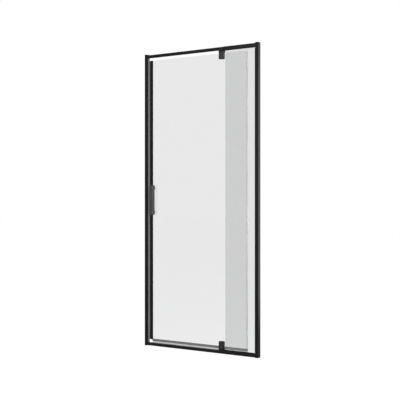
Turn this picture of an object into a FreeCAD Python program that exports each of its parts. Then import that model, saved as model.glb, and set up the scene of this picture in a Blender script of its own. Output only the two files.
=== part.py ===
import FreeCAD, Part
import Sketcher
import os
import re

# A framed pivot door for a shower: a glass leaf that turns on two clamps set in from its edge,
# in front of the wet side, with a narrow fixed pane beside it.
#
# Lengths are in millimetres. X runs along the wall-to-wall width, +Y points into the shower and
# Z is up. The origin is the middle of the threshold's sole, on the turning plane of the leaf.

DIMENSIONS = {
    # the frame as a whole
    "overall_width": 900,
    "overall_height": 1950,
    "frame_front": 16,
    "frame_back": 14,
    # the U channel on each wall and the post that nests in it
    "channel_face": 14,
    "channel_wall": 1.6,
    "channel_round": 6.5,
    "post_face": 9,
    "post_nest": 7.5,
    "post_wall": 1.5,
    "post_play": 0.15,
    "cap_thickness": 2.5,
    "wall_hole_radius": 3,
    "wall_hole_spread": 1700,
    "strike_width": 12,
    "strike_depth": 4,
    "strike_skin": 0.8,
    "strike_play": 0.1,
    "strike_inset": 0.5,
    # the self-tapping screws of the frame, with hexagonal heads
    "tapping_radius": 1.65,
    "tapping_head": 3.1,
    "corner_screw_depth": 4.3,
    "corner_screw_length": 20,
    "corner_head_height": 2.2,
    "corner_block_length": 30,
    "post_screw_inset": 3.9,
    "post_screw_length": 8,
    "post_screw_spread": 1500,
    "post_head_height": 1.5,
    "cover_width": 7.6,
    "cover_height": 12,
    "cover_depth": 2.3,
    "cover_wall": 0.6,
    # the two rails
    "rail_face": 18,
    "rail_front": 14.5,
    "rail_back": 12.5,
    "rail_wall": 1.5,
    "rail_round": 5,
    "rail_bevel": 1,
    "rail_drop": 5,
    "sole_width": 10,
    "plug_slack": 0.2,
    "cap_plug": 4,
    # the glass
    "glass": 6,
    "glass_bevel": 0.8,
    "fixed_front": 12,
    "fixed_edge": 206,
    "pocket_depth": 14,
    "pane_gap": 2.5,
    "pane_play": 1,
    "strip": 1,
    "post_strip": 2,
    "glazing_wall": 1.5,
    "channel_lip": 8,
    "channel_cover": 2.5,
    "cover_round": 2,
    "setting_block_inset": 25,
    "setting_block_length": 30,
    "leaf_tail": 365,
    "leaf_gap": 20.5,
    # the closing edge of the leaf
    "closing_gap": 0.5,
    "seal_width": 18,
    "seal_depth": 12,
    "seal_head": 9,
    "seal_neck": 10,
    "seal_skin": 1.2,
    "seal_stem": 4.4,
    "seal_foot": 7.2,
    "seal_bevel": 1,
    "magnet_inset": 4,
    "stile_width": 17.5,
    "stile_depth": 16,
    "stile_wall": 1.5,
    "stile_round": 1.5,
    "stile_lift": 2.5,
    "stile_lap": 8,
    "stile_cap": 2,
    "stile_cap_bevel": 1,
    "slot_mouth": 5,
    "slot_width": 8,
    "slot_depth": 5,
    "glass_seat": 6.5,
    "port_inset": 3,
    "port_skin": 1.3,
    # the handle
    "handle_length": 200,
    "handle_width": 19,
    "handle_reach": 31,
    "handle_wall": 4,
    "handle_end": 8,
    "handle_round": 2.5,
    "handle_bevel": 1,
    "recess_bevel": 3,
    "handle_screw_short": 1,
    "handle_pitch": 160,
    "handle_pad": 0.6,
    "handle_pad_side": 11,
    "handle_screw_radius": 2,
    "handle_head": 4.2,
    "handle_head_height": 2.4,
    "glass_hole_radius": 4.2,
    "rosette_radius": 9,
    "rosette_depth": 4,
    "rosette_roof": 0.8,
    # the pivots
    "pivot_across": 171,
    "bracket_width": 36,
    "bracket_leg": 9.5,
    "bracket_rise": 16,
    "bracket_skin": 2,
    "bracket_rear": 4,
    "bracket_round": 8,
    "grub_radius": 2,
    "clamp_width": 34,
    "clamp_height": 41,
    "clamp_start": 17.5,
    "clamp_reach": 14,
    "clamp_round": 5,
    "clamp_bevel": 1.5,
    "clamp_screw_up": 45.5,
    "clamp_screw_radius": 3,
    "clamp_screw_bite": 7,
    "clamp_head_radius": 5.2,
    "clamp_head_height": 2.4,
    "gasket": 0.8,
    "gasket_inset": 1.5,
    "pin_radius": 5,
    "pin_end_gap": 1,
    "pin_block_width": 17,
    "pin_block_height": 20,
    "notch_play": 0.5,
    "notch_bevel": 1.5,
    "bush_side": 15,
    "bush_depth": 13,
    "bush_flange": 18,
    "bush_flange_height": 1.1,
    "running_clearance": 0.05,
    # the seals on the leaf's lower and trailing edges
    "drip_depth": 10,
    "drip_sole": 5,
    "drip_bevel": 2,
    "drip_skin": 1.2,
    "drip_grip": 6.5,
    "drip_drop": 8.5,
    "drip_clear": 22,
    "fin_drop": 10.5,
    "fin_root": 1.8,
    "fin_edge": 1,
    "fin_lean": 1.7,
    "tail_grip": 7,
    "tail_skin": 0.9,
    "tail_lap": 3,
    "tail_gap": 0.4,
    "tail_end_gap": 1,
}

doc = FreeCAD.newDocument("pivot_shower_door")
sheet = doc.addObject("Spreadsheet::Sheet", "dims")
for row, (alias, size) in enumerate(DIMENSIONS.items(), start=1):
    sheet.set("A%d" % row, alias)
    sheet.set("B%d" % row, str(size))
    sheet.setAlias("B%d" % row, alias)
doc.recompute()

WORD = re.compile(r"[a-z_]{3,}")
AXES = {"x": 0, "y": 1, "z": 2}


def bound(text):
    """The text of a size with every named dimension pointed at the sheet."""
    return WORD.sub(lambda word: "dims." + word.group(0), text)


def number(text):
    """The value that a size has now, in millimetres."""
    found = sheet.evalExpression(bound(text))
    return float(getattr(found, "Value", found))


# ---------------------------------------------------------------- places that several pieces share

WALL = "(overall_width / 2)"
MOUTH = "(overall_width / 2 - channel_face)"
REVEAL = "(overall_width / 2 - channel_face - post_face)"
POST_OUTER = "(overall_width / 2 - channel_face + post_nest)"
POST_FRONT = "(frame_front - channel_wall - post_play)"
POST_BACK = "(frame_back - channel_wall - post_play)"
FIXED_BACK = "(fixed_front - glass)"
LEAF_CLOSING = "(-overall_width / 2 + channel_face + post_face + closing_gap + seal_width)"
STILE_INNER = "(%s + stile_width)" % LEAF_CLOSING
HANDLE_MIDDLE = "(%s + handle_width / 2)" % STILE_INNER
BOTTOM_INNER = "(cap_thickness + rail_face)"
TOP_INNER = "(overall_height - rail_drop - rail_face)"
MID_HEIGHT = "(overall_height / 2)"
LEAF_BOTTOM = "(%s + leaf_gap)" % BOTTOM_INNER
LEAF_TOP = "(%s - leaf_gap)" % TOP_INNER
CLAMP_FACE = "(glass / 2 + gasket)"
ENDS = ("bottom", "top")
SIDES = {"left": -1, "right": 1}
POST_SCREW_ACROSS = "(%s + post_screw_inset)" % MOUTH
POST_SCREW_LEVELS = ["(%s %s post_screw_spread / 2)" % (MID_HEIGHT, sign) for sign in ("-", "+")]
SNUG = "0.05"
PAST = "1"  # how far a cut runs past the face that it starts from


def into(end, distance):
    """A height measured from a rail's inner face into the doorway."""
    if end == "bottom":
        return "(%s + %s)" % (BOTTOM_INNER, distance)
    return "(%s - %s)" % (TOP_INNER, distance)


def outward(side, distance):
    """A place across the door, measured from the middle towards one wall."""
    return "(%d * %s)" % (SIDES[side], distance)


# ---------------------------------------------------------------- ways of making solids


def new_body(label):
    body = doc.addObject("PartDesign::Body", label)
    body.Label = label
    return body


def new_sketch(body, role, across="0", up="0", out="0"):
    """A sketch on one of the body's own planes, shifted within it and along its normal."""
    sketch = body.newObject("Sketcher::SketchObject", body.Label + "_sketch")
    plane = next(f for f in body.Origin.OriginFeatures if f.Role == role)
    sketch.AttachmentSupport = [(plane, "")]
    sketch.MapMode = "FlatFace"
    for direction, distance in (("x", across), ("y", up), ("z", out)):
        if distance != "0":
            sketch.setExpression("AttachmentOffset.Base." + direction, bound(distance))
    return sketch


def hold(sketch, geometry, vertex, x, y):
    """Holds a point at its distances from the sketch's origin."""
    for kind, text, axis in (("DistanceX", x, -2), ("DistanceY", y, -1)):
        if abs(number(text)) < 1e-9:
            sketch.addConstraint(Sketcher.Constraint("PointOnObject", geometry, vertex, axis))
            continue
        rule = Sketcher.Constraint(kind, -1, 1, geometry, vertex, number(text))
        sketch.setExpression("Constraints[%d]" % sketch.addConstraint(rule), bound(text))


def outline(sketch, corners):
    """A closed outline of straight lines through the given corners."""
    points = [FreeCAD.Vector(number(x), number(y), 0) for x, y in corners]
    first = sketch.GeometryCount
    for start, end in zip(points, points[1:] + points[:1]):
        sketch.addGeometry(Part.LineSegment(start, end))
    for index, (x, y) in enumerate(corners):
        before = first + (index - 1) % len(corners)
        sketch.addConstraint(Sketcher.Constraint("Coincident", before, 2, first + index, 1))
        hold(sketch, first + index, 1, x, y)


def rectangle(sketch, left, right, low, high):
    outline(sketch, [(left, low), (right, low), (right, high), (left, high)])


def circle(sketch, x, y, radius):
    centre = FreeCAD.Vector(number(x), number(y), 0)
    ring = sketch.addGeometry(Part.Circle(centre, FreeCAD.Vector(0, 0, 1), number(radius)))
    hold(sketch, ring, 3, x, y)
    rule = sketch.addConstraint(Sketcher.Constraint("Radius", ring, number(radius)))
    sketch.setExpression("Constraints[%d]" % rule, bound(radius))


def pad(body, sketch, length, reverse=False):
    feature = body.newObject("PartDesign::Pad", body.Label + "_pad")
    feature.Profile = sketch
    feature.setExpression("Length", bound(length))
    feature.Reversed = reverse
    doc.recompute()
    return feature


def pocket(body, sketch, length, reverse=False):
    """Cuts the sketch's shape out of the body, and makes sure that something was cut."""
    before = body.Shape.Volume
    feature = body.newObject("PartDesign::Pocket", body.Label + "_pocket")
    feature.Profile = sketch
    feature.setExpression("Length", bound(length))
    feature.Reversed = reverse
    doc.recompute()
    if body.Shape.Volume > before - 0.01:
        raise RuntimeError("a pocket in %s cuts nothing" % body.Label)
    return feature


def straight_edges(shape, axis, places):
    """Names of the edges that run along an axis through the given places beside it."""
    beside = [AXES[name] for name in "xyz" if name != axis]
    wanted = [[number(text) for text in place] for place in places]
    names = []
    for index, edge in enumerate(shape.Edges, start=1):
        ends = [vertex.Point for vertex in edge.Vertexes]
        if len(ends) != 2 or abs(edge.Length - (ends[1] - ends[0]).Length) > 1e-6:
            continue
        for place in wanted:
            if all(abs(end[k] - goal) < 0.01 for end in ends for k, goal in zip(beside, place)):
                names.append("Edge%d" % index)
    return names


def rim_edges(shape, axis, height):
    """Names of the edges that lie in the plane at this height along an axis."""
    level, k = number(height), AXES[axis]
    names = []
    for index, edge in enumerate(shape.Edges, start=1):
        box = edge.BoundBox
        low = (box.XMin, box.YMin, box.ZMin)[k]
        high = (box.XMax, box.YMax, box.ZMax)[k]
        if abs(low - level) < 0.01 and abs(high - level) < 0.01:
            names.append("Edge%d" % index)
    return names


def soften(body, names, size, kind="Fillet"):
    """Rounds or bevels the named edges of the body as it is now."""
    feature = body.newObject("PartDesign::" + kind, body.Label + "_" + kind.lower())
    feature.Base = (body.Tip if body.Tip != feature else feature.BaseFeature, names)
    feature.setExpression("Radius" if kind == "Fillet" else "Size", bound(size))
    doc.recompute()
    return feature


def round_corners(body, axis, places, radius):
    soften(body, straight_edges(body.Shape, axis, places), radius)


def block(label, x, y, z):
    """A rectangular solid between two places on each axis."""
    solid = doc.addObject("Part::Box", label)
    for (low, high), size, direction in zip((x, y, z), ("Length", "Width", "Height"), "xyz"):
        solid.setExpression(size, bound("%s - %s" % (high, low)))
        solid.setExpression("Placement.Base." + direction, bound(low))
    return solid


def bar(kind, label, radius, length, start, axis):
    """A Cylinder or a Prism that runs along +axis from its start."""
    solid = doc.addObject("Part::" + kind, label)
    solid.setExpression("Radius" if kind == "Cylinder" else "Circumradius", bound(radius))
    solid.setExpression("Height", bound(length))
    turn = {"x": ((0, 1, 0), 90), "y": ((1, 0, 0), -90)}[axis]
    solid.Placement.Rotation = FreeCAD.Rotation(FreeCAD.Vector(*turn[0]), turn[1])
    for direction, place in zip("xyz", start):
        solid.setExpression("Placement.Base." + direction, bound(place))
    return solid


def rod(label, radius, length, start, axis):
    return bar("Cylinder", label, radius, length, start, axis)


def hexagon(label, radius, length, start, axis):
    """A six-sided bar, its radius measured to the corners."""
    solid = bar("Prism", label, radius, length, start, axis)
    solid.Polygon = 6
    return solid


def joined(label, members):
    """One solid fused from several."""
    solid = doc.addObject("Part::MultiFuse", label)
    solid.Shapes = members
    return solid


def without(label, base, tool):
    solid = doc.addObject("Part::Cut", label)
    solid.Base = base
    solid.Tool = tool
    return solid


def group(label, members):
    """Separate solids that are fitted as a set."""
    solid = doc.addObject("Part::Compound", label)
    solid.Links = members
    return solid


sub_parts = []


def keep(piece):
    sub_parts.append(piece)
    return piece


# ---------------------------------------------------------------- wall channels and posts


def wall_channel(side):
    """The U extrusion screwed to the wall, its rear flange slotted for the post's screws."""
    body = new_body("wall_channel_" + side)
    across = lambda distance: outward(side, distance)
    inside = "(%s - channel_wall)" % WALL
    front, back = "(-frame_front)", "frame_back"
    sketch = new_sketch(body, "XY_Plane", out="cap_thickness")
    outline(sketch, [
        (across(WALL), front),
        (across(MOUTH), front),
        (across(MOUTH), "(channel_wall - frame_front)"),
        (across(inside), "(channel_wall - frame_front)"),
        (across(inside), "(frame_back - channel_wall)"),
        (across(MOUTH), "(frame_back - channel_wall)"),
        (across(MOUTH), back),
        (across(WALL), back),
    ])
    pad(body, sketch, "overall_height - 2 * cap_thickness")
    hollow = [(across(inside), "(channel_wall - frame_front)")]
    soften(body, straight_edges(body.Shape, "z", hollow), "channel_round - channel_wall", "Chamfer")
    round_corners(body, "z", [(across(WALL), front)], "channel_round")
    holes = new_sketch(body, "YZ_Plane", out=across(WALL))
    middle = "((frame_back - frame_front) / 2)"
    spread = "wall_hole_spread / 2"
    for height in ("(%s - %s)" % (MID_HEIGHT, spread), MID_HEIGHT, "(%s + %s)" % (MID_HEIGHT, spread)):
        circle(holes, middle, height, "wall_hole_radius")
    pocket(body, holes, "2 * channel_wall", reverse=side == "left")
    slots = new_sketch(body, "XZ_Plane", out="(-frame_back)")
    half = "(tapping_radius + %s)" % SNUG
    for level in POST_SCREW_LEVELS:
        rectangle(slots, across("(%s - %s)" % (MOUTH, PAST)), across("(%s + %s)" % (POST_SCREW_ACROSS, half)),
                  "(%s - %s)" % (level, half), "(%s + %s)" % (level, half))
    pocket(body, slots, "channel_wall", reverse=True)
    return keep(body)


def post_blank(label, side, low, height):
    """A post's outer shape, with the rounded nose that faces the doorway."""
    body = new_body(label)
    sketch = new_sketch(body, "XY_Plane", out=low)
    near, far = outward(side, REVEAL), outward(side, POST_OUTER)
    rectangle(sketch, near, far, "(-%s)" % POST_FRONT, POST_BACK)
    pad(body, sketch, height)
    round_corners(body, "z", [(near, "(-%s)" % POST_FRONT)], "channel_round")
    return body


def post(side):
    """The hollow post: the left one seats the strike, the right one the fixed pane."""
    low, height = "cap_thickness", "overall_height - 2 * cap_thickness"
    body = post_blank("post_" + side, side, low, height)
    across = lambda distance: outward(side, distance)
    shapes = new_sketch(body, "XY_Plane", out=low)
    far = "(%s - post_wall)" % POST_OUTER
    rear = "(%s - post_wall)" % POST_BACK
    if side == "left":
        floor = "(%s + strike_depth)" % REVEAL
        rectangle(shapes, across(REVEAL), across(floor), "(-strike_width / 2)", "(strike_width / 2)")
        rectangle(shapes, across("(%s + post_wall)" % floor), across(far),
                  "(post_wall - %s)" % POST_FRONT, rear)
    else:
        floor = "(%s + pocket_depth)" % REVEAL
        rear_lip = "(post_strip - %s)" % FIXED_BACK
        rectangle(shapes, across(REVEAL), across(floor), "(-fixed_front - strip)", rear_lip)
        rectangle(shapes, across("(%s + post_wall)" % REVEAL), across(far),
                  "(%s + post_wall)" % rear_lip, rear)
    pocket(body, shapes, height, reverse=True)
    holes = new_sketch(body, "XZ_Plane", out="(-%s)" % POST_BACK)
    for level in POST_SCREW_LEVELS:
        circle(holes, across(POST_SCREW_ACROSS), level, "tapping_radius + %s" % SNUG)
    pocket(body, holes, "2 * post_wall", reverse=True)
    screws = new_sketch(body, "YZ_Plane", out=across("(%s - %s)" % (REVEAL, PAST)))
    for end in ENDS:
        circle(screws, "corner_screw_depth", into(end, "(-rail_face / 2)"), "tapping_radius + %s" % SNUG)
    pocket(body, screws, "strike_depth + post_wall + 2 * %s" % PAST, reverse=side == "right")
    return keep(body)


for side in SIDES:
    wall_channel(side)
    post(side)

envelopes = joined("post_envelopes", [
    post_blank("post_envelope_" + side, side, "0", "overall_height") for side in SIDES])


def end_cap(side, end):
    """A moulded plate that closes a wall channel and its post, with a plug inside the post."""
    low = "0" if end == "bottom" else "(overall_height - cap_thickness)"
    body = new_body("cap_%s_%s" % (end, side))
    sketch = new_sketch(body, "XY_Plane", out=low)
    near, far = outward(side, REVEAL), outward(side, WALL)
    rectangle(sketch, near, far, "(-frame_front)", "frame_back")
    pad(body, sketch, "cap_thickness")
    round_corners(body, "z", [(near, "(-frame_front)"), (far, "(-frame_front)")], "channel_round")
    plug = new_sketch(body, "XY_Plane", out="cap_thickness" if end == "bottom" else low)
    rear = "(%s - post_wall - plug_slack)" % POST_BACK
    rectangle(plug, outward(side, "(%s + strike_depth + 2 * post_wall)" % REVEAL),
              outward(side, "(%s - post_wall - plug_slack)" % POST_OUTER), "0", rear)
    pad(body, plug, "cap_plug", reverse=end == "top")
    return body


for end in ENDS:
    keep(group("post_caps_" + end, [end_cap(side, end) for side in SIDES]))

# ---------------------------------------------------------------- rails


def rail(end):
    """A hollow rail with rounded front edges, its ends coped over the posts' rounded noses."""
    body = new_body("rail_blank_" + end)
    inner = into(end, "0")
    outer = into(end, "(-rail_face)")
    hollow_inner = into(end, "(-rail_wall)")
    hollow_outer = into(end, "(rail_wall - rail_face)")
    front, back = "(-rail_front)", "rail_back"
    sketch = new_sketch(body, "YZ_Plane", out="(-%s)" % MOUTH)
    sole = []
    if end == "bottom":
        half = "(sole_width / 2)"
        sole = [("(-%s)" % half, outer), ("(-%s)" % half, "0"), (half, "0"), (half, outer)]
    outline(sketch, [(front, outer)] + sole + [(back, outer), (back, inner), (front, inner)])
    inside_front, inside_back = "(rail_wall - rail_front)", "(rail_back - rail_wall)"
    rectangle(sketch, inside_front, inside_back, hollow_outer, hollow_inner)
    pad(body, sketch, "2 * %s" % MOUTH)
    hollow = straight_edges(body.Shape, "x", [(inside_front, hollow_outer), (inside_front, hollow_inner)])
    soften(body, hollow, "rail_round - rail_wall", "Chamfer")
    round_corners(body, "x", [(front, outer), (front, inner)], "rail_round")
    soften(body, straight_edges(body.Shape, "x", [(back, outer), (back, inner)]), "rail_bevel", "Chamfer")
    return keep(without(end + "_rail", body, envelopes))


def corner_block(end, side):
    """A plug in a rail's end with a square port that takes the screw through the post."""
    inset = "(%s - corner_block_length)" % REVEAL
    body = new_body("corner_block_%s_%s" % (end, side))
    sketch = new_sketch(body, "YZ_Plane", out="(-%s)" % REVEAL if side == "left" else inset)
    front = "(rail_wall + plug_slack - rail_front)"
    back = "(rail_back - rail_wall - plug_slack)"
    low, high = into(end, "(rail_wall + plug_slack - rail_face)"), into(end, "(-rail_wall - plug_slack)")
    rectangle(sketch, front, back, low, high)
    middle, port = into(end, "(-rail_face / 2)"), "(tapping_radius + %s)" % SNUG
    rectangle(sketch, "(corner_screw_depth - %s)" % port, "(corner_screw_depth + %s)" % port,
              "(%s - %s)" % (middle, port), "(%s + %s)" % (middle, port))
    pad(body, sketch, "corner_block_length")
    edges = straight_edges(body.Shape, "x", [(front, low), (front, high)])
    soften(body, edges, "rail_round - rail_wall", "Chamfer")
    return body


def corner_screw(end, side):
    """A hexagon-headed screw from inside the post, through its inner wall, into a corner block."""
    label = "corner_screw_%s_%s" % (end, side)
    at = lambda across: (across, "corner_screw_depth", into(end, "(-rail_face / 2)"))
    if side == "left":
        seat = "(-%s - strike_depth - post_wall)" % REVEAL
        starts = seat, "(%s - corner_head_height)" % seat
    else:
        seat = "(%s + post_wall)" % REVEAL
        starts = "(%s - corner_screw_length)" % seat, seat
    shank = rod(label + "_shank", "tapping_radius", "corner_screw_length", at(starts[0]), "x")
    head = hexagon(label + "_head", "tapping_head", "corner_head_height", at(starts[1]), "x")
    return joined(label, [shank, head])


for end in ENDS:
    rail(end)
keep(group("corner_blocks", [corner_block(end, side) for end in ENDS for side in SIDES]))

# ---------------------------------------------------------------- fixed pane and what holds it

PANE_LOW = "(%s + pane_gap)" % BOTTOM_INNER
PANE_HIGH = "(%s - pane_gap)" % TOP_INNER
PANE_RIGHT = "(%s + pocket_depth - pane_play)" % REVEAL
CHANNEL_START = "(pivot_across + bracket_width / 2 + pane_play)"
COVER_FRONT = "(-rail_front - channel_cover)"
BACK_LEG = "(strip - %s)" % FIXED_BACK


def fixed_glass():
    body = new_body("fixed_glass")
    sketch = new_sketch(body, "XZ_Plane", out=FIXED_BACK)
    rectangle(sketch, "fixed_edge", PANE_RIGHT, PANE_LOW, PANE_HIGH)
    pad(body, sketch, "glass")
    edges = straight_edges(body.Shape, "z", [
        ("fixed_edge", "(-%s)" % FIXED_BACK), ("fixed_edge", "(-fixed_front)")])
    soften(body, edges, "glass_bevel", "Chamfer")
    return keep(body)


def glazing_channel(end):
    """An extrusion over the rail: a cover in front, a web on the rail and a leg behind the pane."""
    body = new_body("glazing_blank_" + end)
    sketch = new_sketch(body, "YZ_Plane", out=CHANNEL_START)
    behind = "(%s + glazing_wall)" % BACK_LEG
    lip, web, outer = into(end, "channel_lip"), into(end, "glazing_wall"), into(end, "(-rail_face)")
    outline(sketch, [
        (COVER_FRONT, outer),
        ("(-rail_front)", outer),
        ("(-rail_front)", into(end, "0")),
        (behind, into(end, "0")),
        (behind, lip),
        (BACK_LEG, lip),
        (BACK_LEG, web),
        ("(-rail_front)", web),
        ("(-rail_front)", lip),
        (COVER_FRONT, lip),
    ])
    pad(body, sketch, "%s - %s" % (MOUTH, CHANNEL_START))
    round_corners(body, "x", [(COVER_FRONT, outer), (COVER_FRONT, lip)], "cover_round")
    return keep(without("glazing_channel_" + end, body, envelopes))


def glazing_strips():
    """The black wedges on both sides of the pane, in the two channels and in the post."""
    strips = []
    for end in ENDS:
        levels = sorted((into(end, "glazing_wall"), into(end, "channel_lip")), key=number)
        sides = {"front": ("(-rail_front)", "(-fixed_front)"), "rear": ("(-%s)" % FIXED_BACK, BACK_LEG)}
        for name, depth in sides.items():
            strips.append(block("strip_%s_%s" % (end, name), ("fixed_edge", REVEAL), depth, levels))
    levels = (into("bottom", "channel_lip"), into("top", "channel_lip"))
    inside = "(%s + 2 * post_wall)" % REVEAL
    strips.append(block("strip_post_front", (inside, PANE_RIGHT),
                        ("(-fixed_front - strip)", "(-fixed_front)"), levels))
    strips.append(block("strip_post_rear", (REVEAL, PANE_RIGHT),
                        ("(-%s)" % FIXED_BACK, "(post_strip - %s)" % FIXED_BACK), levels))
    return keep(group("glazing_strips", strips))


def setting_blocks():
    """Two rubber pads that carry the pane in its lower channel."""
    pads = []
    for name, place in (("inner", "(fixed_edge + setting_block_inset)"),
                        ("outer", "(%s - setting_block_inset - setting_block_length)" % REVEAL)):
        pads.append(block("setting_block_" + name, (place, "(%s + setting_block_length)" % place),
                          ("(-fixed_front)", "(-%s)" % FIXED_BACK),
                          (into("bottom", "glazing_wall"), PANE_LOW)))
    return keep(group("setting_blocks", pads))


fixed_glass()
for end in ENDS:
    glazing_channel(end)
glazing_strips()
setting_blocks()

# ---------------------------------------------------------------- fixed pivot brackets and bushes

BRACKET_FRONT = "(-rail_front - bracket_skin)"
BRACKET_BACK = "(rail_back + bracket_rear)"
BUSH_HALF = "(bush_side / 2)"


def grub_level(end):
    """The height of the screw that locks a pivot bracket on its rail."""
    return into(end, "(-bracket_leg / 2)")


def square(sketch, half):
    rectangle(sketch, "(-%s)" % half, half, "(-%s)" % half, half)


def pivot_bracket(end):
    """A cast saddle over the rail with a tower that seats the bush."""
    body = new_body("pivot_bracket_" + end)
    levels = sorted((into(end, "(-bracket_leg)"), into(end, "bracket_rise")), key=number)
    left, right = "(pivot_across - bracket_width / 2)", "(pivot_across + bracket_width / 2)"
    plan = new_sketch(body, "XY_Plane", out=levels[0])
    rectangle(plan, left, right, BRACKET_FRONT, BRACKET_BACK)
    pad(body, plan, "bracket_leg + bracket_rise")
    corners = [(x, y) for x in (left, right) for y in (BRACKET_FRONT, BRACKET_BACK)]
    round_corners(body, "z", corners, "bracket_round")
    rise = into(end, "bracket_rise")
    saddle = new_sketch(body, "YZ_Plane", out="(%s - %s)" % (left, PAST))
    rectangle(saddle, "(-rail_front - %s)" % SNUG, "(rail_back + %s)" % SNUG,
              into(end, "(-bracket_leg - %s)" % PAST), into(end, "0"))
    pocket(body, saddle, "bracket_width + 2 * %s" % PAST, reverse=True)
    seat = new_sketch(body, "XY_Plane", across="pivot_across", out=rise)
    square(seat, "(%s + %s)" % (BUSH_HALF, SNUG))
    pocket(body, seat, "bush_depth + notch_play", reverse=end == "top")
    grub = new_sketch(body, "XZ_Plane", out="(-%s)" % BRACKET_BACK)
    circle(grub, "pivot_across", grub_level(end), "grub_radius + %s" % SNUG)
    pocket(body, grub, "bracket_rear", reverse=True)
    return keep(body)


def pivot_bush(end):
    """A square nylon bush that can't turn in its seat; the clamp rides just above its flange."""
    body = new_body("pivot_bush_" + end)
    rise, upward = into(end, "bracket_rise"), end == "bottom"
    shank = new_sketch(body, "XY_Plane", across="pivot_across", out=rise)
    square(shank, BUSH_HALF)
    pad(body, shank, "bush_depth", reverse=upward)
    flange = new_sketch(body, "XY_Plane", across="pivot_across", out=rise)
    square(flange, "(bush_flange / 2)")
    pad(body, flange, "bush_flange_height", reverse=not upward)
    bore = new_sketch(body, "XY_Plane", across="pivot_across",
                      out=into(end, "(bracket_rise + bush_flange_height)"))
    circle(bore, "0", "0", "pin_radius + running_clearance")
    pocket(body, bore, "bush_depth + bush_flange_height", reverse=not upward)
    return keep(body)


def bracket_screw(end):
    """A headless screw through the saddle's rear leg, its tip pressed on the rail."""
    return rod("bracket_screw_" + end, "grub_radius", "bracket_rear",
               ("pivot_across", "rail_back", grub_level(end)), "y")


for end in ENDS:
    pivot_bracket(end)
    pivot_bush(end)

# ---------------------------------------------------------------- the leaf's glass

NOTCH_HALF = "(pin_block_width / 2 + notch_play)"
NOTCH_TOP = "(clamp_screw_up + clamp_screw_radius + notch_play)"


def door_glass():
    """The leaf: notched for the pins and the clamp screws, and bored for the handle screws."""
    body = new_body("door_glass")
    sketch = new_sketch(body, "XZ_Plane", out="(-glass / 2)")
    left = "(%s + stile_lap)" % LEAF_CLOSING
    rectangle(sketch, left, "leaf_tail", LEAF_BOTTOM, LEAF_TOP)
    pad(body, sketch, "glass")
    cuts = new_sketch(body, "XZ_Plane", out="(-glass / 2)")
    for end in ENDS:
        edge, top = into(end, "(leaf_gap - %s)" % PAST), into(end, NOTCH_TOP)
        low, high = sorted((edge, top), key=number)
        rectangle(cuts, "(pivot_across - %s)" % NOTCH_HALF, "(pivot_across + %s)" % NOTCH_HALF, low, high)
    for sign in ("-", "+"):
        level = "(%s %s handle_pitch / 2)" % (MID_HEIGHT, sign)
        circle(cuts, HANDLE_MIDDLE, level, "glass_hole_radius")
    pocket(body, cuts, "glass", reverse=True)
    notch = [("(pivot_across %s %s)" % (sign, NOTCH_HALF), into(end, NOTCH_TOP))
             for end in ENDS for sign in ("-", "+")]
    soften(body, straight_edges(body.Shape, "y", notch), "notch_bevel", "Chamfer")
    tail = [("leaf_tail", "(glass / 2)"), ("leaf_tail", "(-glass / 2)")]
    soften(body, straight_edges(body.Shape, "z", tail), "glass_bevel", "Chamfer")
    return keep(body)


door_glass()

# ---------------------------------------------------------------- pivot clamps and pins


CLAMP_LEFT = "(pivot_across - clamp_width / 2)"
CLAMP_RIGHT = "(pivot_across + clamp_width / 2)"
CLAMP_FAR = "(clamp_start + clamp_height)"
BACK_REACH = "(clamp_reach - clamp_head_height)"


def clamp_half(end, name, out):
    """One shell of a clamp: the front one is tapped, the back one has the screw's way through."""
    body = new_body("clamp_%s_%s" % (name, end))
    reach = "clamp_reach" if out else BACK_REACH
    near, far = into(end, "clamp_start"), into(end, CLAMP_FAR)
    low, high = sorted((near, far), key=number)
    sketch = new_sketch(body, "XZ_Plane", out=CLAMP_FACE if out else "(-%s)" % reach)
    rectangle(sketch, CLAMP_LEFT, CLAMP_RIGHT, low, high)
    pad(body, sketch, "%s - %s" % (reach, CLAMP_FACE))
    round_corners(body, "y", [(CLAMP_LEFT, far), (CLAMP_RIGHT, far)], "clamp_round")
    face = "(-%s)" % reach if out else reach
    soften(body, rim_edges(body.Shape, "y", face), "clamp_bevel", "Chamfer")
    bore = new_sketch(body, "XZ_Plane", out=CLAMP_FACE if out else "(-%s)" % reach)
    circle(bore, "pivot_across", into(end, "clamp_screw_up"), "clamp_screw_radius + %s" % SNUG)
    depth = "clamp_screw_bite + notch_play" if out else "%s - %s" % (reach, CLAMP_FACE)
    pocket(body, bore, depth, reverse=True)
    return keep(body)


def clamp_gasket(end, name, out):
    """A rubber horseshoe between a clamp shell and the glass, open round the pin and the screw."""
    body = new_body("clamp_gasket_%s_%s" % (end, name))
    sketch = new_sketch(body, "XZ_Plane", out="(glass / 2)" if out else "(-glass / 2 - gasket)")
    left, right = "(%s + gasket_inset)" % CLAMP_LEFT, "(%s - gasket_inset)" % CLAMP_RIGHT
    edge, far = into(end, "leaf_gap"), into(end, "(%s - gasket_inset)" % CLAMP_FAR)
    inner = into(end, NOTCH_TOP)
    inner_left, inner_right = ["(pivot_across %s %s)" % (sign, NOTCH_HALF) for sign in ("-", "+")]
    outline(sketch, [
        (left, edge), (inner_left, edge), (inner_left, inner), (inner_right, inner),
        (inner_right, edge), (right, edge), (right, far), (left, far),
    ])
    pad(body, sketch, "gasket")
    return body


def clamp_screw(end):
    """A flat-headed screw from the wet side, through the glass, into the front shell."""
    name = "clamp_screw_" + end
    at = lambda depth: ("pivot_across", depth, into(end, "clamp_screw_up"))
    tip = "(-%s - clamp_screw_bite)" % CLAMP_FACE
    shank = rod(name + "_shank", "clamp_screw_radius", "(%s - %s)" % (BACK_REACH, tip), at(tip), "y")
    head = rod(name + "_head", "clamp_head_radius", "clamp_head_height", at(BACK_REACH), "y")
    return joined(name, [shank, head])


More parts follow.
